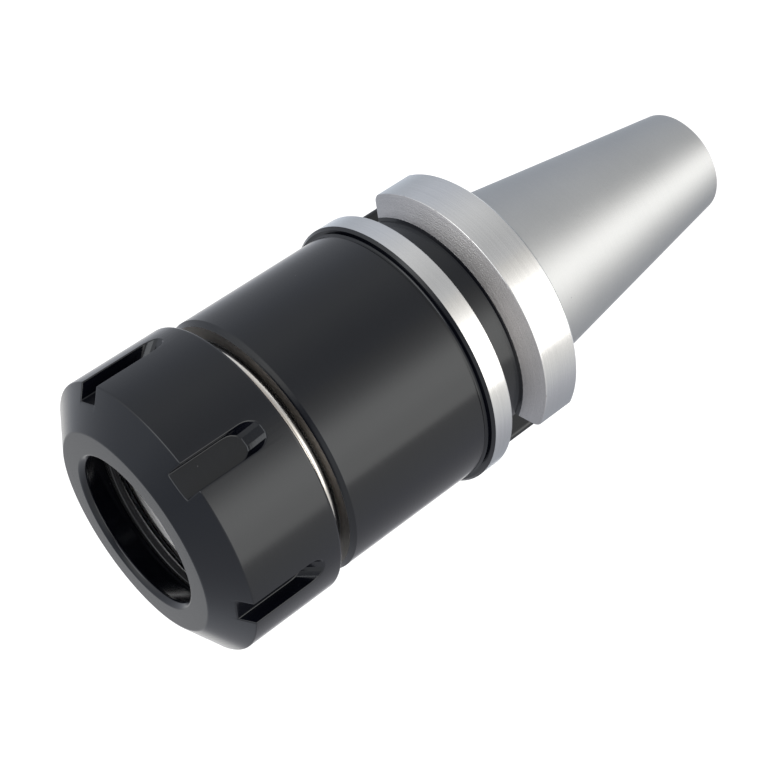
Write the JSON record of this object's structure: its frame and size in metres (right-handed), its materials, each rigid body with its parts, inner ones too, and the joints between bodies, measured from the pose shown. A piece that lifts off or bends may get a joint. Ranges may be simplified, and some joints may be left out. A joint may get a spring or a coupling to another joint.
{
  "type": "collet chuck holder",
  "caption": "Steep-taper tool holder with a gripper flange, drive slots, a tapered collet pocket and a slotted clamping nut.",
  "frame": {"origin": "on the axis, at the plane of the taper's small end, which is the lowest face", "axes": "+Z along the axis from the taper to the nut; +X through the middle of one drive slot"},
  "size_m": [0.063, 0.063, 0.161],
  "materials": {
    "holder": "ground taper and flange, black oxide body",
    "nut": "black oxide, satin",
    "ring": "dark oiled steel",
    "wire": "bright spring wire"
  },
  "bodies": {
    "holder": {"holder_body": "holder"},
    "extractor": {"extractor_ring": "ring"},
    "nut": {"clamping_nut": "nut", "retaining_wire": "wire"}
  },
  "joints": [
    {"name": "nut_travel", "type": "slide", "parent": "holder", "child": "extractor", "axis": [0, 0, 1], "range_m": [0, 0.0145]},
    {"name": "nut_turn", "type": "hinge", "parent": "extractor", "child": "nut", "pos_m": [0, 0, 0.145], "axis": [0, 0, 1], "range_deg": [0, 3420]}
  ],
  "couplings": [
    {"joint": "nut_travel", "follows": "nut_turn", "m_per_rad": 0.00023873}
  ]
}
